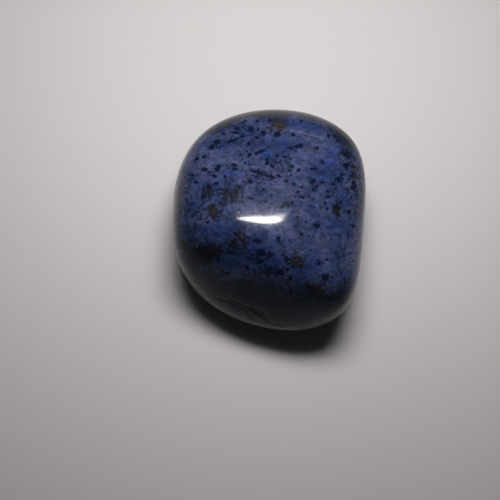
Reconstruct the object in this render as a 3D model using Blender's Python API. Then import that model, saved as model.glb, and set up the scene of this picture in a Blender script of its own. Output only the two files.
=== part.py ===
"""A tumbled and polished dumortierite stone, one solid piece, at its real size.

Metres, +Z up. The stone lies on its flattest worn face. Its origin is the middle of its outline
on the surface that it rests on, +Y runs along its length and +X across it.
"""

import math

import bmesh
import bpy
from mathutils import Vector

MM = 0.001

# The worn faces over and under the block that was tumbled. Each has the direction that it looks
# in, as an azimuth from +X and an elevation above the horizon in degrees, and its distance from
# the heart of the stone in millimetres.
WORN_FACES = {
    "crown": (90.0, 79.0, 8.5),
    "crown_left": (180.0, 64.0, 11.0),
    "crown_right": (0.0, 64.0, 9.5),
    "crown_back": (90.0, 56.0, 11.0),
    "front_slope": (252.0, 37.0, 9.5),
    "right_slope": (355.0, 36.0, 13.0),
    "left_slope": (172.0, 36.0, 13.0),
    "back_slope": (88.0, 32.0, 14.5),
    "front_underside": (262.0, -48.0, 13.0),
    "back_underside": (90.0, -45.0, 13.0),
    "left_underside": (180.0, -45.0, 12.0),
    "right_underside": (0.0, -45.0, 12.0),
    "base": (0.0, -90.0, 8.0),
}

# The worn sides. Each has its two angles in the same way, and then how far the finished stone
# reaches level in that direction, in millimetres.
WORN_SIDES = {
    "right_side": (355.0, 0.0, 12.0),
    "right_back_corner": (28.0, 2.0, 14.1),
    "back_right_corner": (50.0, 2.0, 14.6),
    "back_side": (95.0, 2.0, 14.0),
    "left_back_corner": (134.0, 2.0, 13.5),
    "left_side": (179.0, 0.0, 12.1),
    "left_front_corner": (218.0, -4.0, 12.7),
    "front_left_corner": (235.0, -7.0, 12.9),
    "front_side": (262.0, -8.0, 13.6),
    "right_front_corner": (302.0, -5.0, 15.1),
}

# How often the sides are moved in or out to bring the finished stone to those reaches.
FITTING_ROUNDS = 16

# How crisp the worn edges between the faces are: a low value is a pebble, a high one a block.
EDGE_CRISPNESS = 8.0

# The polished wheel mark that the stone rests on is this much of it, cut off flat.
REST_CUT = 0.3 * MM

# Facets along each side of the round starting cube.
FACETS_PER_SIDE = 28

STONE_BLUE = (0.055, 0.075, 0.185, 1.0)
POLISH_ROUGHNESS = 0.14
QUARTZ_IOR = 1.54


def outward(azimuth, elevation):
    """The unit vector that looks in that direction."""
    turn = math.radians(azimuth)
    rise = math.radians(elevation)
    return Vector((math.cos(turn) * math.cos(rise), math.sin(turn) * math.cos(rise), math.sin(rise)))


def skin_distance(direction, faces):
    """How far the stone's skin is from its heart in that direction, in millimetres.

    Each face alone would stop the skin at its own plane. Adding the faces as powers rounds the
    edges between them, as tumbling does.
    """
    wear = 0.0
    for looks, distance in faces:
        facing = direction.dot(looks)
        if facing > 0.0:
            wear += (facing / distance) ** EDGE_CRISPNESS
    return wear ** (-1.0 / EDGE_CRISPNESS)


def fitted_faces(directions):
    """Every worn face as its direction and distance, with the sides moved to the measured reaches."""
    fixed = [(outward(azimuth, rise), distance) for azimuth, rise, distance in WORN_FACES.values()]
    looks = [outward(azimuth, rise) for azimuth, rise, _ in WORN_SIDES.values()]
    level = [outward(azimuth, 0.0) for azimuth, _, _ in WORN_SIDES.values()]
    wanted = [measured for _, _, measured in WORN_SIDES.values()]
    distances = list(wanted)
    for _ in range(FITTING_ROUNDS):
        faces = fixed + list(zip(looks, distances))
        skin = [direction * skin_distance(direction, faces) for direction in directions]
        for side, way in enumerate(level):
            distances[side] += wanted[side] - max(point.dot(way) for point in skin)
    return fixed + list(zip(looks, distances))


def round_cube():
    """A ball of even four-sided facets, made from a cube's grid."""
    ball = bmesh.new()
    bmesh.ops.create_cube(ball, size=2.0)
    bmesh.ops.subdivide_edges(ball, edges=ball.edges[:], cuts=FACETS_PER_SIDE - 1, use_grid_fill=True)
    for vert in ball.verts:
        evened = Vector([math.tan(math.pi / 4.0 * along) for along in vert.co])
        vert.co = evened.normalized()
    return ball


def cut_rest_face(stone):
    """Cuts the lowest part off level, and closes the cut with one flat face."""
    lowest = min(vert.co.z for vert in stone.verts)
    everything = stone.verts[:] + stone.edges[:] + stone.faces[:]
    cut = bmesh.ops.bisect_plane(
        stone,
        geom=everything,
        plane_co=(0.0, 0.0, lowest + REST_CUT),
        plane_no=(0.0, 0.0, -1.0),
        clear_outer=True,
    )
    rim = [item for item in cut["geom_cut"] if isinstance(item, bmesh.types.BMEdge)]
    bmesh.ops.edgeloop_fill(stone, edges=rim)


def set_on_origin(stone):
    """Moves the stone so that the middle of its box's underside is the origin."""
    low = Vector([min(vert.co[axis] for vert in stone.verts) for axis in range(3)])
    high = Vector([max(vert.co[axis] for vert in stone.verts) for axis in range(3)])
    middle = (low + high) / 2.0
    bmesh.ops.translate(stone, vec=(-middle.x, -middle.y, -low.z), verts=stone.verts[:])


def polished_stone_material():
    """Dumortierite in quartz: dull violet blue, under a glassy polish."""
    material = bpy.data.materials.new("polished_dumortierite")
    material.use_nodes = True
    shader = material.node_tree.nodes["Principled BSDF"]
    shader.inputs["Base Color"].default_value = STONE_BLUE
    shader.inputs["Metallic"].default_value = 0.0
    shader.inputs["Roughness"].default_value = POLISH_ROUGHNESS
    shader.inputs["IOR"].default_value = QUARTZ_IOR
    return material


def make_stone():
    """The whole stone, one closed solid."""
    shape = round_cube()
    faces = fitted_faces([vert.co.copy() for vert in shape.verts])
    for vert in shape.verts:
        vert.co = vert.co * (skin_distance(vert.co, faces) * MM)
    cut_rest_face(shape)
    set_on_origin(shape)
    bmesh.ops.recalc_face_normals(shape, faces=shape.faces[:])
    mesh = bpy.data.meshes.new("stone")
    shape.to_mesh(mesh)
    shape.free()
    mesh.shade_smooth()
    mesh.set_sharp_from_angle(angle=math.radians(30.0))
    mesh.materials.append(polished_stone_material())
    stone = bpy.data.objects.new("stone", mesh)
    bpy.context.scene.collection.objects.link(stone)
    return stone


for leftover in list(bpy.data.objects):
    bpy.data.objects.remove(leftover)
make_stone()
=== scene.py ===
"""The polished dumortierite stone and its studio stage, as a Blender add-on that is run as a script."""

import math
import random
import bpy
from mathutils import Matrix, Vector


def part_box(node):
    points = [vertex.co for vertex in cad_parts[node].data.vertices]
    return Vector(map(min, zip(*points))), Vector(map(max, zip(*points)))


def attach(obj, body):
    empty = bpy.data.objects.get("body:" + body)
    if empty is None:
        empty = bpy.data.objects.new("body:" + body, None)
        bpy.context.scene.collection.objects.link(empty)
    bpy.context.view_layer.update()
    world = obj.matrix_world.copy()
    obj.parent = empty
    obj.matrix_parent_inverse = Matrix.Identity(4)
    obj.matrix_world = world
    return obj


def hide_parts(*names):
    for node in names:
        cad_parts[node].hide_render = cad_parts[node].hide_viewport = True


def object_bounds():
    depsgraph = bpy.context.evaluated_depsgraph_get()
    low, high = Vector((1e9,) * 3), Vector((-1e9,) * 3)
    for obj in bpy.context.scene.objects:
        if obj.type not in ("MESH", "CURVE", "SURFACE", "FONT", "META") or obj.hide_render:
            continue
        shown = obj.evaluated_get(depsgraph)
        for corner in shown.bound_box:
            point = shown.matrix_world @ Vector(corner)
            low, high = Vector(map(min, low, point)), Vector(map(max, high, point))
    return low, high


bl_info = {
    "name": "Tumbled dumortierite",
    "version": (1, 0, 0),
    "blender": (4, 5, 0),
    "location": "View3D > Sidebar > Stone",
    "description": "Makes the polished skin of a tumbled dumortierite stone, and a plain stage for it",
    "category": "Add Mesh",
}

import bmesh
import bpy
from mathutils import Matrix, Vector, noise
from mathutils.bvhtree import BVHTree
from mathutils.kdtree import KDTree

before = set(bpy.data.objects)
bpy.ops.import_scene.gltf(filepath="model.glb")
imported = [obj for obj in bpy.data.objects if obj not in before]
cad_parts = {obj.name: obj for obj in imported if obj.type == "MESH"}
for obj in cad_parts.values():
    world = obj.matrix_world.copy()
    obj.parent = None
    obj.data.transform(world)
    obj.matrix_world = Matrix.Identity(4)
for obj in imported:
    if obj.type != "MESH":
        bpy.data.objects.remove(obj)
CAD_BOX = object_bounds()

MM = 0.001

# The camera, in millimetres from the stone's origin. Its lens, its sensor and how near it can see
# are in millimetres too.
CAMERA_PLACE = (-7.28, -36.54, 177.08)
CAMERA_AIM = (-2.34, -4.33, 8.0)
CAMERA_ROLL = math.radians(9.73)
CAMERA_LENS = 99.5
CAMERA_SENSOR = 36.0
NEAREST_SEEN = 5.0

# Where the lamps are aimed, in millimetres, a little behind the stone so that the light falls
# off towards the camera, and how widely they spread, in degrees.
LAMP_TARGET = (0.0, 16.0, 0.0)
LAMP_SPREAD = 90.0

# The key lamp lights the stone and the floor, and its sides are in metres. The polish mirrors
# only the strip lamp.
KEY_LENGTH = 0.1
KEY_WIDTH = 0.05
KEY_AZIMUTH = math.radians(88.0)
STRIP_AZIMUTH = math.radians(91.0)
STRIP_TURN = math.radians(22.0)

# A lamp is evenly bright up to the first of these shares of its width from its middle, and
# fades out to the second.
LAMP_EVEN_TO = 0.25
LAMP_DARK_FROM = 0.5
LAMP_BRIGHTNESS = 1.6
LAMP_COLOUR = (1.0, 0.97, 0.98)
ROOM_COLOUR = (0.95, 0.97, 1.0, 1.0)

# How the stone's fine bands are turned, and the depth of the polish's relief in millimetres.
BAND_TURN = math.radians(-18.0)
RELIEF_DEPTH = 0.012

# The skin: how close corners of the solid are joined, and how far apart its swells are and how
# far above the resting face they are at their full depth, all in millimetres.
MERGE_DISTANCE = 0.001
SMOOTHING_ROUNDS = 12
SWELL_SPACING = 5.0
SWELL_CLEARANCE = 2.0

# The kinds of marks, which are attributes of the skin.
MARK_NAMES = ("dark_flecks", "rust_stains", "blue_clouds", "dull_quartz_and_shade", "pale_veins", "open_cracks")

# How wide the edge of a mark fades, in half widths of the mark: a soft one from its very middle.
SOFT = 2.0
CRISP = 1.0

# The finest mark that the skin's grid can carry, in millimetres.
SMALLEST_MARK = 0.42

# How much of a slope's foreshortening is made up for in the marks that the camera sees.
SLOPE_CORRECTION = 0.65

# The noise that makes marks uneven: how far apart its bends are in millimetres, and how deep
# they are in half widths of the mark.
WOBBLE_SPACING = 0.45
WOBBLE = 0.7
WOBBLE_SEED = 7

# How far out a mark is looked for, in half lengths of it, before its fading edge is added.
MARK_REACH = 1.2

# The reach of veins and cracks on each side, and the step along them, in millimetres.
VEIN_WIDTH = 0.35
CRACK_WIDTH = 0.4
LINE_STEP = 0.15

# Marks on the hidden sides. A place counts as seen if the cosine of the angle between its normal
# and its direction to the camera is over the first of these.
SEEN_FACING = 0.3
SCATTER_SEED = 11
SCATTER_TRIES = 420
SCATTER_TURN = 18.0

# The length of a hidden fleck in millimetres, as the mean of its logarithm and how that spreads,
# and the least and most of its width as shares of its length.
SCATTER_LENGTH = (-0.5, 0.45)
SCATTER_WIDTH = (0.4, 0.9)

# What may lie around a hidden fleck: the kind of mark, its chance, and its length and width as
# multiples of the fleck's length.
COMPANION_STRENGTH = 0.8
COMPANIONS = (
    ("rust_stains", 0.16, 2.0, 1.6),
    ("blue_clouds", 0.2, 4.0, 2.5),
    ("dull_quartz_and_shade", 0.05, 9.0, 5.0),
)

# The side of the camera's square picture in pixels, and about how many of them a millimetre of
# the stone takes up there.
PICTURE_PIXELS = 500.0
PIXELS_PER_MM = 8.3

# The marks of the stone are placed as the camera sees them. The first two numbers of each are its
# pixels across and down, and the next two its length and width in pixels. Then comes how far its
# length is turned from across, in degrees. The dark flecks come first.
DARK_FLECKS = (
    (244.7, 121.4, 5, 3.5, 20),
    (257.5, 121, 3.5, 3, 0),
    (269, 121, 3, 7, 0),
    (237, 127, 6, 2.5, 10),
    (251, 129.5, 7, 5, 15),
    (258, 129.5, 3, 2, 0),
    (263.5, 132.5, 6, 5, 0),
    (223, 133.5, 4, 2.5, 10),
    (236, 132.5, 6, 2, 10),
    (217.5, 142, 6, 2.5, 10),
    (232.5, 140.5, 10, 3.5, 18),
    (242, 137, 5, 2.5, 30),
    (257, 138, 4, 2, 20),
    (212, 147.3, 7, 5, 10),
    (249, 143.2, 4, 2.5, 10),
    (260, 151.8, 12, 3.5, 22),
    (250, 155, 5, 2, 0),
    (204, 157.2, 5, 3, 20),
    (196, 159, 6, 4, 30),
    (193, 150, 4, 3, 30),
    (244, 162.4, 3, 2.5, 0),
    (267.3, 162.6, 5, 6, 0),
    (217.8, 167.8, 5.5, 5, 0),
    (234, 165, 5, 4, 0),
    (204.4, 169.7, 5, 4, 0),
    (235, 169.2, 3.5, 2.5, 10),
    (209, 171.9, 4, 1.5, 0),
    (254, 171.3, 8, 2.5, -15),
    (260.5, 173.3, 7, 3.5, -10),
    (192.8, 174.8, 3, 3, 0),
    (214.4, 176.1, 4, 3.5, 0),
    (225, 176.5, 3, 3, 0),
    (196.1, 182.2, 3, 3, 20),
    (216.4, 183.4, 4.5, 3, 0),
    (250.9, 181.9, 7, 3.5, 5),
    (263.9, 189.4, 3.5, 1.5, 10),
    (208.9, 186.7, 5, 4, 0),
    (203.5, 196.1, 5, 4, 0),
    (220, 189.4, 5, 2, 0),
    (250.6, 198.3, 5, 3, 0),
    (265.6, 201.1, 4, 3, 0),
    (277.2, 134.4, 6, 5, 0),
    (293, 134.8, 4, 2.5, 0),
    (301, 120.6, 4, 2, 0),
    (337.8, 140.3, 5, 2.5, 0),
    (334.5, 136, 2, 1.5, 0),
    (328, 136, 2, 1.5, 0),
    (298.3, 146.1, 10, 5, 0),
    (316.9, 147.8, 4, 2.5, 10),
    (346.7, 154.4, 12, 7, -20),
    (347, 165, 4, 7, -70),
    (277, 155.5, 3, 1.5, 0),
    (284.4, 156.7, 6, 3, -10),
    (290, 159, 3, 2, 0),
    (275.8, 161.9, 3, 3, 0),
    (271.7, 166, 4, 3, 0),
    (292, 167, 4, 4, 0),
    (299, 170, 5, 3, 20),
    (290, 171, 2.5, 2, 0),
    (314, 169.2, 7, 3, 10),
    (269.6, 176.1, 8, 3, 0),
    (279, 176, 8, 4, -5),
    (291.5, 174.8, 2, 2.5, 0),
    (286, 181, 3, 2, 0),
    (293.4, 184.1, 5, 3, 0),
    (301.7, 186.3, 3, 2, 0),
    (312.7, 181.1, 6, 4, 0),
    (316.3, 186.7, 2.5, 2, 0),
    (313.7, 189.7, 3.5, 2, 0),
    (322.2, 182, 4, 1.5, 0),
    (322.6, 161.9, 4, 2.5, 0),
    (339.6, 178.5, 7, 6, 0),
    (344, 175, 2, 2, 0),
    (332, 184.1, 5, 3.5, 0),
    (327.8, 190.9, 3, 2, 0),
    (328.1, 196.8, 4, 4, 0),
    (298.2, 192, 2.5, 2, 0),
    (302.3, 196.7, 5, 3, 0),
    (271.3, 195.2, 2, 2.5, 0),
    (292.4, 202.8, 3, 3, 0),
    (285.5, 205, 7, 6, 0),
    (325, 203.2, 3, 2.5, 0),
    (327, 209, 3, 2, 0),
    (337.5, 208.5, 6.5, 14, 0),
    (353, 186, 5, 10, 0),
    (348.7, 211.7, 3, 4, 0),
    (355.7, 215, 3, 6, 0),
    (353.2, 226, 4, 4, 0),
    (316.4, 225.8, 6, 5, 0),
    (301.6, 234, 6, 3, -30),
    (278.9, 239.4, 5, 4, 0),
    (256, 240.6, 8, 3, 0),
    (213.6, 217.2, 5, 3, 0),
    (200.8, 219, 3.5, 4.5, 0),
    (207.4, 222.2, 2, 3, 0),
    (235.8, 234.4, 5, 3.5, 0),
    (233.5, 243, 6, 5, 20),
    (200, 250.6, 10, 7, 0),
    (212.4, 250, 12, 7, 5),
    (220, 251.4, 5, 4, 0),
    (206, 260, 8, 6, 0),
    (230, 252.8, 7, 3, 0),
    (261.3, 252.8, 7, 6, 0),
    (270, 254, 5, 6, 0),
    (259.7, 261.5, 5, 4, 0),
    (246.7, 267.8, 4, 5, 0),
    (218.9, 259.7, 2.5, 2, 0),
    (225.8, 272.8, 8, 3, -10),
    (282, 255, 3, 3, 0),
    (286.5, 259, 4, 6, 0),
    (318.7, 261.7, 4, 3.5, 0),
    (326.5, 259.8, 3, 3, 0),
    (279.8, 272.8, 6, 6, 0),
    (287.5, 270, 3, 3, 0),
    (290.3, 278.3, 5, 4, 0),
    (325, 278, 8, 6, 0),
    (291.1, 291.7, 4, 4, 0),
    (220.8, 300, 4, 4, 0),
    (231, 300, 4, 3, 0),
    (310.5, 287, 6, 3, 0),
    (295.3, 327.5, 5, 4, 0),
)

# Soft patches where fine dark needles crowd together.
DUSKY_PATCHES = (
    (208, 191, 18, 16, 0),
    (230, 193, 26, 17, 0),
    (258, 192.5, 12, 10, 0),
    (250.5, 182, 15, 10, 0),
    (248, 153.5, 16, 8, 0),
    (264, 131.5, 14, 11, 0),
    (240, 241, 16, 26, 0),
    (232, 245, 18, 14, 0),
    (206, 253, 40, 22, 5),
    (276, 164, 22, 16, 0),
    (340, 178, 9, 8, 0),
    (346, 155, 12, 8, -20),
    (214, 212, 18, 16, 0),
    (196, 211, 10, 10, 0),
    (218, 145, 20, 8, 15),
    (232, 141, 24, 8, 15),
    (238, 129, 14, 10, 0),
    (262, 174, 30, 10, -5),
    (296, 261, 14, 13, 0),
    (324, 279, 14, 13, 0),
    (315, 291, 24, 14, 5),
    (268, 272, 26, 14, 0),
    (256, 258, 22, 14, 0),
    (234, 306, 16, 12, -20),
    (217, 298, 8, 8, 0),
    (255, 317, 24, 9, -30),
    (298, 146, 18, 9, 0),
)

# Rusty stains, with how strong each one is at the end.
RUST_STAINS = (
    (278.5, 124.5, 11, 9, 0, 1.25),
    (285.5, 133.8, 10, 3, -8, 0.5),
    (214, 133, 8, 5, 10, 0.5),
    (207.2, 192, 11, 9, 0, 0.8),
    (231.8, 194.5, 17, 10, -10, 0.8),
    (222, 204.5, 6, 3, 0, 0.6),
    (206, 209.4, 5, 3, 0, 0.8),
    (213.2, 211.7, 8, 9, 0, 1.15),
    (238, 212.8, 8, 3, 0, 0.3),
    (199.7, 230, 6, 4, 0, 0.6),
    (242.2, 238, 6, 20, 10, 0.85),
    (233.5, 244, 12, 8, 20, 0.9),
    (212.4, 250.5, 14, 8, 5, 0.9),
    (200, 251, 10, 7, 0, 0.8),
    (206, 260, 9, 8, 0, 0.8),
    (253.6, 262.8, 4, 4, 0, 0.4),
    (268.2, 272, 6, 6, 0, 0.7),
    (296.4, 261.1, 11, 10, 0, 1.1),
    (290, 278.3, 5, 4, 0, 0.5),
    (323.5, 280, 7, 6, 0, 0.7),
    (315, 290.6, 17, 9, 5, 0.9),
    (275.3, 301.7, 8, 5, 0, 0.5),
    (337.5, 209, 4, 11, 0, 1.0),
    (346, 155, 10, 8, -20, 0.5),
    (344.5, 282, 9, 14, 0, 0.5),
    (337.5, 256, 8, 8, 0, 0.4),
    (309, 243, 5, 3, 0, 0.3),
    (325, 314, 15, 3, 8, 0.4),
    (230, 252.8, 7, 4, 0, 0.4),
)

# Clouds of purer blue.
BLUE_CLOUDS = (
    (284, 142.5, 20, 10, 0),
    (300, 124, 40, 7, -8),
    (330, 155, 9, 10, 0),
    (222, 148, 8, 6, 0),
    (327, 165, 18, 16, 0),
    (345, 200, 8, 10, 0),
    (192, 205, 10, 12, 0),
    (222, 232, 20, 12, 0),
    (228, 262, 26, 10, 0),
    (272, 263, 30, 14, 0),
    (311, 268, 12, 26, 0),
    (300, 275, 12, 10, 0),
    (331, 281, 8, 8, 0),
    (232, 173, 14, 6, 0),
    (255, 247, 30, 12, 0),
    (335, 225, 14, 10, 0),
    (205, 185, 12, 8, 0),
    (266, 155, 8, 5, 0),
)

# Darker grey quartz, partly the stone's own and partly painted shade: the first eight patches darken the
# front slope, which faces away from the key lamp, and the last six darken the top, left and right rims.
DULL_QUARTZ_AND_SHADE = (
    (262, 318, 140, 60, -6),
    (215, 292, 70, 44, -35),
    (188, 262, 24, 44, 0),
    (338, 308, 56, 40, 30),
    (238, 304, 80, 44, -15),
    (292, 305, 84, 38, 5),
    (203, 254, 34, 20, 5),
    (256, 291, 76, 27, -3),
    (226, 120.5, 44, 17, 24),
    (268, 112.5, 52, 15, 0),
    (312, 116, 40, 14, -16),
    (341, 132, 46, 17, -45),
    (177, 205, 14, 80, 8),
    (361, 178, 12, 70, 0),
)

# Pale healed cracks, each a run of places.
PALE_VEINS = (
    ((257, 131), (270, 129), (280, 128.7), (296, 131), (311, 135), (322, 138)),
)

# Dark open cracks near the lower edge.
OPEN_CRACKS = (
    ((217, 297.5), (232, 303), (246.5, 310.5), (251, 317), (258, 321)),
    ((230, 299.5), (247, 307), (263, 316), (271, 322.5), (282, 325)),
    ((252, 307), (262, 312), (269, 319)),
)


def linear(hex_colour):
    """An sRGB hex colour as the linear colour that Blender's sockets hold."""
    channels = []
    for start in (1, 3, 5):
        value = int(hex_colour[start:start + 2], 16) / 255.0
        if value <= 0.04045:
            channels.append(value / 12.92)
        else:
            channels.append(((value + 0.055) / 1.055) ** 2.4)
    return (*channels, 1.0)


def colour(name, description, hex_colour):
    """A colour property with that sRGB default."""
    return bpy.props.FloatVectorProperty(
        name=name,
        description=description,
        subtype="COLOR",
        size=4,
        min=0.0,
        max=1.0,
        default=linear(hex_colour),
    )


class StoneSettings(bpy.types.PropertyGroup):
    """What a user would change on the stone."""

    slate: colour("Slate", "The dull blue ground of quartz full of fine dumortierite", "#37456e")
    lavender: colour("Lavender", "The paler, greyer quartz between the blue clouds", "#51597f")
    blue: colour("Blue", "The clouds where dumortierite is purest", "#273f79")
    # This dark grey is partly painted shade, on the front slope and the rims.
    dull: colour("Dull quartz", "The grey quartz low on the front slope", "#1e262c")
    navy: colour("Navy", "The dark flecks", "#111835")
    speck: colour("Speck", "The fine specks", "#141b3a")
    smudge: colour("Smudge", "The dark smudges that iron has stained", "#20201e")
    rust: colour("Rust", "Iron stains", "#514029")
    vein: colour("Vein", "Pale healed cracks", "#7d86a3")
    crack: colour("Crack", "Dark open cracks", "#06080a")
    polish: bpy.props.FloatProperty(
        name="Polish roughness",
        description="Roughness of the clear polish: lower is glassier",
        subtype="FACTOR",
        min=0.0,
        max=1.0,
        default=0.08,
    )
    waviness: bpy.props.FloatProperty(
        name="Waviness",
        description="How far the tumbled skin swells and dips",
        unit="LENGTH",
        subtype="DISTANCE",
        min=0.0,
        max=0.5 * MM,
        default=0.03 * MM,
    )
    crack_depth: bpy.props.FloatProperty(
        name="Crack depth",
        description="How deep the open cracks are",
        unit="LENGTH",
        subtype="DISTANCE",
        min=0.0,
        max=0.5 * MM,
        default=0.065 * MM,
    )
    grid: bpy.props.IntProperty(
        name="Grid",
        description="Squares along each side of the skin's grid",
        min=16,
        max=128,
        default=120,
    )


class StageSettings(bpy.types.PropertyGroup):
    """What a user would change on the stage."""

    floor: colour("Floor", "The pale floor under the stone", "#ece8e7")
    floor_size: bpy.props.FloatProperty(
        name="Floor size",
        description="Side of the square floor",
        unit="LENGTH",
        subtype="DISTANCE",
        min=0.1,
        default=1.6,
    )
    lamp_distance: bpy.props.FloatProperty(
        name="Lamp distance",
        description="From the stone's top to each lamp",
        unit="LENGTH",
        subtype="DISTANCE",
        min=0.05,
        default=0.12,
    )
    key_rise: bpy.props.FloatProperty(
        name="Key rise",
        description="Height of the key lamp above the horizon, as an angle",
        unit="ROTATION",
        subtype="ANGLE",
        default=math.radians(66.0),
    )
    key_power: bpy.props.FloatProperty(
        name="Key power",
        description="Power of the key lamp",
        unit="POWER",
        min=0.0,
        default=0.05,
    )
    strip_rise: bpy.props.FloatProperty(
        name="Strip rise",
        description="Height of the mirrored strip lamp above the horizon, as an angle",
        unit="ROTATION",
        subtype="ANGLE",
        default=math.radians(74.0),
    )
    strip_length: bpy.props.FloatProperty(
        name="Strip length",
        description="Long side of the mirrored strip lamp",
        unit="LENGTH",
        subtype="DISTANCE",
        min=0.01,
        default=0.105,
    )
    strip_width: bpy.props.FloatProperty(
        name="Strip width",
        description="Short side of the mirrored strip lamp",
        unit="LENGTH",
        subtype="DISTANCE",
        min=0.005,
        default=0.02,
    )
    strip_power: bpy.props.FloatProperty(
        name="Strip power",
        description="Power of the mirrored strip lamp",
        unit="POWER",
        min=0.0,
        default=0.105,
    )
    room: bpy.props.FloatProperty(
        name="Room light",
        description="Strength of the even light from the room",
        min=0.0,
        default=0.013,
    )


def add(tree, kind, inputs=None, **settings):
    """Adds one shader node with its settings. Each input is a value, or the output to link it to."""
    node = tree.nodes.new(kind)
    for name, value in settings.items():
        setattr(node, name, value)
    for socket, source in (inputs or {}).items():
        if isinstance(source, bpy.types.NodeSocket):
            tree.links.new(source, node.inputs[socket])
        else:
            node.inputs[socket].default_value = source
    return node


def ragged(tree, marks, grain, raggedness):
    """The marks that the skin carries under that name, with edges that the grain makes ragged."""
    painted = add(tree, "ShaderNodeAttribute", attribute_name=marks).outputs["Fac"]
    return add(
        tree,
        "ShaderNodeMath",
        {0: grain, 1: raggedness, 2: painted},
        operation="MULTIPLY_ADD",
    ).outputs["Value"]


def laid_over(tree, under, top, amount, start, full, most=1.0):
    """A colour laid over another: not at all at the start amount, and at its most at the full one."""
    cover = add(
        tree,
        "ShaderNodeMapRange",
        {"Value": amount, "From Min": start, "From Max": full, "To Max": most},
        interpolation_type="SMOOTHSTEP",
    ).outputs["Result"]
    return add(
        tree,
        "ShaderNodeMix",
        {0: cover, 6: under, 7: tuple(top)},
        data_type="RGBA",
    ).outputs[2]


def stone_colour(tree, place, settings):
    """The colour of the stone, laid up from its ground to its finest specks."""
    # Growth swirls bend the pattern by up to a millimetre.
    swirl = add(tree, "ShaderNodeTexNoise", {"Vector": place, "Scale": 0.4, "Detail": 1.0})
    bent = add(
        tree,
        "ShaderNodeVectorMath",
        {0: swirl.outputs["Color"], 1: (1.6, 1.6, 1.6), 2: place},
        operation="MULTIPLY_ADD",
    ).outputs["Vector"]

    # Clouds of greyer quartz, 2 to 5 mm across.
    clouds = add(
        tree,
        "ShaderNodeTexNoise",
        {"Vector": bent, "Scale": 0.3, "Detail": 3.0, "Roughness": 0.6},
    ).outputs["Fac"]
    ground = laid_over(tree, tuple(settings.slate), settings.lavender, clouds, start=0.34, full=0.66)

    # Mottling, half a millimetre to a millimetre, a little drawn out along the bands.
    along_bands = add(
        tree,
        "ShaderNodeMapping",
        {"Vector": bent, "Rotation": (0.0, 0.0, BAND_TURN), "Scale": (0.9, 1.15, 1.15)},
    ).outputs["Vector"]
    mottle = add(
        tree,
        "ShaderNodeTexNoise",
        {"Vector": along_bands, "Scale": 1.3, "Detail": 3.5, "Roughness": 0.62},
    ).outputs["Fac"]

    # Clouds of purer blue, then darker grey quartz, which is partly painted shade on the front slope and
    # the rims.
    blue = ragged(tree, "blue_clouds", mottle, raggedness=0.8)
    tinted = laid_over(tree, ground, settings.blue, blue, start=0.5, full=1.25, most=0.7)
    dull = ragged(tree, "dull_quartz_and_shade", mottle, raggedness=0.9)
    dulled_and_shaded = laid_over(tree, tinted, settings.dull, dull, start=0.6, full=1.2, most=0.92)

    # The mottling darkens and lightens all of them.
    depth = add(
        tree,
        "ShaderNodeMapRange",
        {"Value": mottle, "From Min": 0.3, "From Max": 0.7, "To Min": 0.4, "To Max": 1.45},
    ).outputs["Result"]
    mottled = add(
        tree,
        "ShaderNodeMix",
        {0: 1.0, 6: dulled_and_shaded, 7: depth},
        data_type="RGBA",
        blend_type="MULTIPLY",
    ).outputs[2]

    # A fine grain of violet and grey-green needles, a quarter of a millimetre across.
    needles = add(
        tree,
        "ShaderNodeTexNoise",
        {"Vector": place, "Scale": 4.0, "Detail": 2.0, "Roughness": 0.6},
    ).outputs["Color"]
    grained = add(
        tree,
        "ShaderNodeMix",
        {0: 0.6, 6: mottled, 7: needles},
        data_type="RGBA",
        blend_type="OVERLAY",
    ).outputs[2]

    # A pale healed crack, about 0.3 mm wide.
    vein = add(tree, "ShaderNodeAttribute", attribute_name="pale_veins").outputs["Fac"]
    veined = laid_over(tree, grained, settings.vein, vein, start=0.2, full=1.0, most=0.4)

    # Grains of about 0.4 mm make the edges of flecks, stains and open cracks ragged.
    grit = add(
        tree,
        "ShaderNodeTexNoise",
        {"Vector": place, "Scale": 2.4, "Detail": 3.0, "Roughness": 0.6},
    ).outputs["Fac"]

    # Dark flecks, most of them under a millimetre.
    fleck = ragged(tree, "dark_flecks", grit, raggedness=2.0)
    flecked = laid_over(tree, veined, settings.navy, fleck, start=1.15, full=1.8, most=0.97)

    # Stains: a dark mottled smudge, with ochre at its heart.
    stain = ragged(tree, "rust_stains", grit, raggedness=1.4)
    smudged = laid_over(tree, flecked, settings.smudge, stain, start=0.8, full=1.5, most=0.8)
    rusty = laid_over(tree, smudged, settings.rust, stain, start=1.35, full=1.95, most=0.8)

    # Open cracks, about a third of a millimetre wide.
    crack = ragged(tree, "open_cracks", grit, raggedness=1.6)
    cracked = laid_over(tree, rusty, settings.crack, crack, start=1.1, full=1.6, most=0.9)

    # Fine specks, up to a third of a millimetre across, in cells that chance picks, and gathered
    # in drifts 6 mm across.
    cells = add(tree, "ShaderNodeTexVoronoi", {"Vector": bent, "Scale": 1.8, "Randomness": 1.0})
    chance = add(tree, "ShaderNodeSeparateColor", {"Color": cells.outputs["Color"]}).outputs["Red"]
    drifts = add(tree, "ShaderNodeTexNoise", {"Vector": place, "Scale": 0.17, "Detail": 1.0}).outputs["Fac"]
    luck = add(
        tree,
        "ShaderNodeMath",
        {0: drifts, 1: 0.8, 2: chance},
        operation="MULTIPLY_ADD",
    ).outputs["Value"]
    radius = add(
        tree,
        "ShaderNodeMapRange",
        {"Value": luck, "From Min": 0.75, "From Max": 1.45, "To Min": -0.05, "To Max": 0.3},
    ).outputs["Result"]
    inside = add(
        tree,
        "ShaderNodeMath",
        {0: radius, 1: cells.outputs["Distance"]},
        operation="SUBTRACT",
    ).outputs["Value"]
    return laid_over(tree, cracked, settings.speck, inside, start=-0.08, full=0.08, most=0.85)


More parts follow.
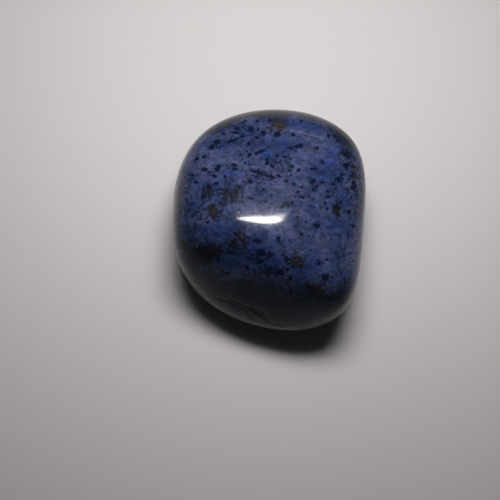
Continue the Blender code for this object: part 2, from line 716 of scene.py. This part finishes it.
def polish_relief(tree, place):
    """Pinholes that the polish left, about 0.2 mm across, and very shallow swells between them."""
    pins = add(tree, "ShaderNodeTexVoronoi", {"Vector": place, "Scale": 1.1, "Randomness": 1.0})
    pinhole = add(
        tree,
        "ShaderNodeMapRange",
        {
            "Value": pins.outputs["Distance"],
            "From Min": 0.05,
            "From Max": 0.15,
            "To Min": -1.0,
            "To Max": 0.0,
        },
        interpolation_type="SMOOTHSTEP",
    ).outputs["Result"]
    swells = add(tree, "ShaderNodeTexNoise", {"Vector": place, "Scale": 0.9, "Detail": 2.0}).outputs["Fac"]
    relief = add(
        tree,
        "ShaderNodeMath",
        {0: swells, 1: 0.8, 2: pinhole},
        operation="MULTIPLY_ADD",
    ).outputs["Value"]
    return add(
        tree,
        "ShaderNodeBump",
        {"Height": relief, "Strength": 0.5, "Distance": RELIEF_DEPTH * MM},
    ).outputs["Normal"]


def polished_dumortierite(settings):
    """Dumortierite in quartz, tumbled to a glassy polish.

    The eye reads a clear, sharp reflection over a dull, mottled blue ground. The colour lies in the
    stone, apart from the painted shade in its darker grey patches, so it has no relief of its own.
    """
    material = bpy.data.materials.new("polished_dumortierite_quartz")
    material.use_nodes = True
    tree = material.node_tree
    shader = tree.nodes["Principled BSDF"]

    # Object coordinates in millimetres: a noise scale of 1 is then one swell in a millimetre.
    place = add(
        tree,
        "ShaderNodeVectorMath",
        {0: add(tree, "ShaderNodeTexCoord").outputs["Object"], "Scale": 1.0 / MM},
        operation="SCALE",
    ).outputs["Vector"]
    tree.links.new(stone_colour(tree, place, settings), shader.inputs["Base Color"])

    # Quartz polish: a soft gloss from fine scratches under a sharp clear one.
    shader.inputs["Metallic"].default_value = 0.0
    shader.inputs["IOR"].default_value = 1.544
    shader.inputs["Specular IOR Level"].default_value = 0.05
    shader.inputs["Roughness"].default_value = 0.25
    shader.inputs["Coat Weight"].default_value = 0.36
    shader.inputs["Coat IOR"].default_value = 1.5
    shader.inputs["Coat Roughness"].default_value = settings.polish

    bump = polish_relief(tree, place)
    tree.links.new(bump, shader.inputs["Normal"])
    tree.links.new(bump, shader.inputs["Coat Normal"])
    return material


def merged_copy(node):
    """A bmesh of a CAD node with its loose triangles joined."""
    solid = bmesh.new()
    solid.from_mesh(node.data)
    bmesh.ops.remove_doubles(solid, verts=solid.verts[:], dist=MERGE_DISTANCE * MM)
    return solid


def cast_skin(node, grid):
    """A fine, even, four-sided grid laid on a CAD node from inside, and smoothed."""
    solid = merged_copy(node)
    walls = BVHTree.FromBMesh(solid)
    solid.free()
    low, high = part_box(node.name)
    heart = (Vector(low) + Vector(high)) / 2.0
    skin = bmesh.new()
    bmesh.ops.create_cube(skin, size=2.0)
    bmesh.ops.subdivide_edges(skin, edges=skin.edges[:], cuts=grid - 1, use_grid_fill=True)
    # The tangent keeps the squares nearly alike, also towards the corners of the cube.
    for vert in skin.verts:
        evened = Vector([math.tan(math.pi / 4.0 * along) for along in vert.co])
        place = walls.ray_cast(heart, evened.normalized())[0]
        if place is None:
            raise RuntimeError("the skin finds no wall of " + node.name)
        vert.co = place
    for _ in range(SMOOTHING_ROUNDS):
        bmesh.ops.smooth_vert(
            skin,
            verts=skin.verts[:],
            factor=0.5,
            use_axis_x=True,
            use_axis_y=True,
            use_axis_z=True,
        )
    bmesh.ops.recalc_face_normals(skin, faces=skin.faces[:])
    return skin


def swell(skin, depth):
    """Slow swells and dips of the tumbled skin, fading out at the resting face."""
    skin.normal_update()
    for vert in skin.verts:
        clear = min(1.0, vert.co.z / (SWELL_CLEARANCE * MM))
        wave = noise.noise(vert.co / (SWELL_SPACING * MM))
        vert.co = vert.co + vert.normal * (wave * depth * clear)


def sink(mesh, amounts, depth):
    """Moves each vertex in along its normal, by its amount of that depth."""
    sunk = [vert.co - vert.normal * (depth * amount) for vert, amount in zip(mesh.vertices, amounts)]
    for vert, place in zip(mesh.vertices, sunk):
        vert.co = place


class MarkPainter:
    """Paints marks as float attributes of the skin: 1 in the middle, 0.5 on the outline."""

    def __init__(self, mesh, walls):
        self.mesh = mesh
        self.walls = walls
        self.marks = {name: [0.0] * len(mesh.vertices) for name in MARK_NAMES}
        self.tree = KDTree(len(mesh.vertices))
        for vert in mesh.vertices:
            self.tree.insert(vert.co, vert.index)
        self.tree.balance()

    def seen(self, across, down):
        """The place on the skin that the camera sees at that pixel."""
        focus = CAMERA_LENS / CAMERA_SENSOR * PICTURE_PIXELS
        middle = PICTURE_PIXELS / 2.0
        eye = Vector(CAMERA_PLACE) * MM
        camera = looking(eye, Vector(CAMERA_AIM) * MM, CAMERA_ROLL).to_3x3()
        sight = camera @ Vector((across - middle, middle - down, -focus))
        return self.walls.ray_cast(eye, sight.normalized())[0]

    def blob(self, name, centre, length, width, turn, strength=1.0, softness=SOFT, seen=True):
        """One mark, an uneven oval in the skin. Its length and width are in pixels.

        A mark that the camera sees keeps its size in the picture, also on a steep slope.
        """
        if centre is None:
            return
        values = self.marks[name]
        sight = (centre - Vector(CAMERA_PLACE) * MM).normalized()
        flatten = SLOPE_CORRECTION if seen else 0.0
        axis = Vector((math.cos(math.radians(turn)), math.sin(math.radians(turn)), 0.0))
        half_length = max(length / PIXELS_PER_MM, SMALLEST_MARK) * MM / 2.0
        half_width = max(width / PIXELS_PER_MM, SMALLEST_MARK) * MM / 2.0
        reach = (MARK_REACH + softness / 2.0) * (1.0 + flatten) * max(half_length, half_width)
        for co, index, _ in self.tree.find_range(centre, reach):
            offset = co - centre
            offset = offset - sight * (offset.dot(sight) * flatten)
            offset = offset + noise.noise_vector(co / (WOBBLE_SPACING * MM)) * (half_width * WOBBLE)
            along = offset.dot(axis)
            across = (offset - axis * along).length
            size = math.hypot(along / half_length, across / half_width)
            value = min(1.0, 0.5 + (1.0 - size) / softness)
            values[index] = max(values[index], strength * value)

    def blobs(self, name, rows, growth=1.0, strength=1.0, softness=SOFT):
        """A list of marks, each drawn that much larger than it was read."""
        for across, down, length, width, turn in rows:
            place = self.seen(across, down)
            self.blob(name, place, growth * length, growth * width, turn, strength, softness)

    def line(self, name, run, width):
        """A thin run between pixels, fading out to that many millimetres on each side."""
        values = self.marks[name]
        places = [self.seen(across, down) for across, down in run]
        for start, end in zip(places, places[1:]):
            steps = max(2, int((end - start).length / (LINE_STEP * MM)))
            for step in range(steps + 1):
                point = start.lerp(end, step / steps)
                for co, index, distance in self.tree.find_range(point, width * MM):
                    values[index] = max(values[index], 1.0 - distance / (width * MM))

    def scatter(self):
        """Marks of the same kinds on the sides that the camera doesn't see."""
        eye = Vector(CAMERA_PLACE) * MM
        vertices = self.mesh.vertices
        draw = random.Random(SCATTER_SEED)
        for _ in range(SCATTER_TRIES):
            vert = vertices[draw.randrange(len(vertices))]
            if vert.normal.dot((eye - vert.co).normalized()) > SEEN_FACING:
                continue
            place = vert.co.copy()
            length = draw.lognormvariate(*SCATTER_LENGTH) * PIXELS_PER_MM
            width = length * draw.uniform(*SCATTER_WIDTH)
            self.blob("dark_flecks", place, length, width, SCATTER_TURN, softness=CRISP, seen=False)
            for name, chance, longer, wider in COMPANIONS:
                if draw.random() < chance:
                    self.blob(
                        name,
                        place,
                        longer * length,
                        wider * length,
                        SCATTER_TURN,
                        COMPANION_STRENGTH,
                        seen=False,
                    )

    def write(self):
        """Keeps the marks on the mesh, each kind under its name."""
        for name, values in self.marks.items():
            layer = self.mesh.attributes.new(name, "FLOAT", "POINT")
            layer.data.foreach_set("value", values)


class STONE_OT_skin(bpy.types.Operator):
    """Lays the polished skin with its flecks over the stone's solid"""

    bl_idname = "stone.skin"
    bl_label = "Polished stone"

    def execute(self, context):
        settings = context.scene.stone_settings
        skin = cast_skin(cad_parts["stone"], settings.grid)
        swell(skin, settings.waviness)
        walls = BVHTree.FromBMesh(skin)
        mesh = bpy.data.meshes.new("polished_stone")
        skin.to_mesh(mesh)
        skin.free()
        mesh.shade_smooth()

        # Without a seed of its own, the noise that bends the marks would follow the clock.
        noise.seed_set(WOBBLE_SEED)
        painter = MarkPainter(mesh, walls)
        painter.blobs("dark_flecks", DARK_FLECKS, growth=1.15, softness=CRISP)
        painter.blobs("dark_flecks", DUSKY_PATCHES, strength=0.6)
        for *mark, strength in RUST_STAINS:
            painter.blobs("rust_stains", [mark], growth=1.3, strength=strength)
        painter.blobs("blue_clouds", BLUE_CLOUDS, growth=1.6, strength=0.8)
        # Darker grey patches, partly the stone's own grey quartz and partly painted shade on the front
        # slope and the rims.
        painter.blobs("dull_quartz_and_shade", DULL_QUARTZ_AND_SHADE)
        for vein in PALE_VEINS:
            painter.line("pale_veins", vein, VEIN_WIDTH)
        for crack in OPEN_CRACKS:
            painter.line("open_cracks", crack, CRACK_WIDTH)
        sink(mesh, painter.marks["open_cracks"], settings.crack_depth)
        painter.scatter()
        painter.write()

        mesh.materials.append(polished_dumortierite(settings))
        stone = bpy.data.objects.new("polished_stone", mesh)
        context.scene.collection.objects.link(stone)
        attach(stone, "root")
        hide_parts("stone")
        return {"FINISHED"}


def matt_pale_floor(settings):
    """A matt, pale floor: an even diffuse white with almost no sheen."""
    material = bpy.data.materials.new("matt_pale_floor")
    material.use_nodes = True
    shader = material.node_tree.nodes["Principled BSDF"]
    shader.inputs["Base Color"].default_value = settings.floor
    shader.inputs["Roughness"].default_value = 0.75
    shader.inputs["Specular IOR Level"].default_value = 0.25
    return material


def looking(place, target, roll):
    """The matrix of a lamp or camera at a place, looking at a target, and rolled about its axis."""
    turned = (target - place).to_track_quat("-Z", "Y").to_matrix().to_4x4()
    return Matrix.Translation(place) @ turned @ Matrix.Rotation(roll, 4, "Z")


def soft_lamp(name, length, width, power, place, roll):
    """An oval lamp over the stone, brightest in its middle and fading out to its edge."""
    data = bpy.data.lights.new(name, "AREA")
    data.shape = "RECTANGLE"
    data.size = length
    data.size_y = width
    data.spread = math.radians(LAMP_SPREAD)
    data.color = LAMP_COLOUR
    data.energy = power
    data.use_nodes = True
    tree = data.node_tree
    from_middle = add(
        tree,
        "ShaderNodeVectorMath",
        {0: add(tree, "ShaderNodeNewGeometry").outputs["Parametric"], 1: (0.5, 0.5, 0.0)},
        operation="DISTANCE",
    ).outputs["Value"]
    strength = add(
        tree,
        "ShaderNodeMapRange",
        {
            "Value": from_middle,
            "From Min": LAMP_EVEN_TO,
            "From Max": LAMP_DARK_FROM,
            "To Min": LAMP_BRIGHTNESS,
            "To Max": 0.0,
        },
        interpolation_type="SMOOTHSTEP",
    ).outputs["Result"]
    tree.links.new(strength, tree.nodes["Emission"].inputs["Strength"])
    lamp = bpy.data.objects.new(name, data)
    lamp.matrix_world = looking(place, Vector(LAMP_TARGET) * MM, roll)
    return lamp


def over_stone(azimuth, elevation, distance):
    """The place at that distance from the stone's top, in that direction."""
    level = math.cos(elevation)
    away = Vector((math.cos(azimuth) * level, math.sin(azimuth) * level, math.sin(elevation)))
    return Vector((0.0, 0.0, CAD_BOX[1][2])) + away * distance


def looking_camera():
    """The camera at its place, turned to its aim and rolled."""
    data = bpy.data.cameras.new("camera")
    data.sensor_width = CAMERA_SENSOR
    data.lens = CAMERA_LENS
    data.clip_start = NEAREST_SEEN * MM
    camera = bpy.data.objects.new("camera", data)
    camera.matrix_world = looking(Vector(CAMERA_PLACE) * MM, Vector(CAMERA_AIM) * MM, CAMERA_ROLL)
    return camera


class STONE_OT_stage(bpy.types.Operator):
    """Makes the floor, the lights and the camera"""

    bl_idname = "stone.stage"
    bl_label = "Stage"

    def execute(self, context):
        scene = context.scene
        settings = scene.stage_settings
        square = bmesh.new()
        bmesh.ops.create_grid(square, x_segments=1, y_segments=1, size=settings.floor_size / 2.0)
        mesh = bpy.data.meshes.new("floor")
        square.to_mesh(mesh)
        square.free()
        mesh.materials.append(matt_pale_floor(settings))
        floor = bpy.data.objects.new("floor", mesh)
        scene.collection.objects.link(floor)

        key = soft_lamp(
            "key_lamp",
            KEY_LENGTH,
            KEY_WIDTH,
            settings.key_power,
            over_stone(KEY_AZIMUTH, settings.key_rise, settings.lamp_distance),
            0.0,
        )
        strip = soft_lamp(
            "strip_lamp",
            settings.strip_length,
            settings.strip_width,
            settings.strip_power,
            over_stone(STRIP_AZIMUTH, settings.strip_rise, settings.lamp_distance),
            STRIP_TURN,
        )
        key.visible_glossy = False
        strip.visible_diffuse = False
        scene.collection.objects.link(key)
        scene.collection.objects.link(strip)
        camera = looking_camera()
        scene.collection.objects.link(camera)
        scene.camera = camera

        world = bpy.data.worlds.new("room")
        world.use_nodes = True
        background = world.node_tree.nodes["Background"]
        background.inputs["Color"].default_value = ROOM_COLOUR
        background.inputs["Strength"].default_value = settings.room
        scene.world = world
        scene.view_settings.view_transform = "Standard"
        return {"FINISHED"}


class STONE_PT_panel(bpy.types.Panel):
    """The stone's pieces and stage, in the order that they are made"""

    bl_idname = "STONE_PT_panel"
    bl_label = "Tumbled dumortierite"
    bl_space_type = "VIEW_3D"
    bl_region_type = "UI"
    bl_category = "Stone"

    def draw(self, context):
        layout = self.layout
        for settings, operator in (
            (context.scene.stone_settings, STONE_OT_skin),
            (context.scene.stage_settings, STONE_OT_stage),
        ):
            box = layout.box()
            for name in settings.__annotations__:
                box.prop(settings, name)
            box.operator(operator.bl_idname)


CLASSES = (StoneSettings, StageSettings, STONE_OT_skin, STONE_OT_stage, STONE_PT_panel)


def register():
    for cls in CLASSES:
        bpy.utils.register_class(cls)
    bpy.types.Scene.stone_settings = bpy.props.PointerProperty(type=StoneSettings)
    bpy.types.Scene.stage_settings = bpy.props.PointerProperty(type=StageSettings)


def unregister():
    del bpy.types.Scene.stage_settings
    del bpy.types.Scene.stone_settings
    for cls in reversed(CLASSES):
        bpy.utils.unregister_class(cls)


def main():
    register()
    bpy.ops.stone.skin()
    bpy.ops.stone.stage()


if __name__ == "__main__":
    main()
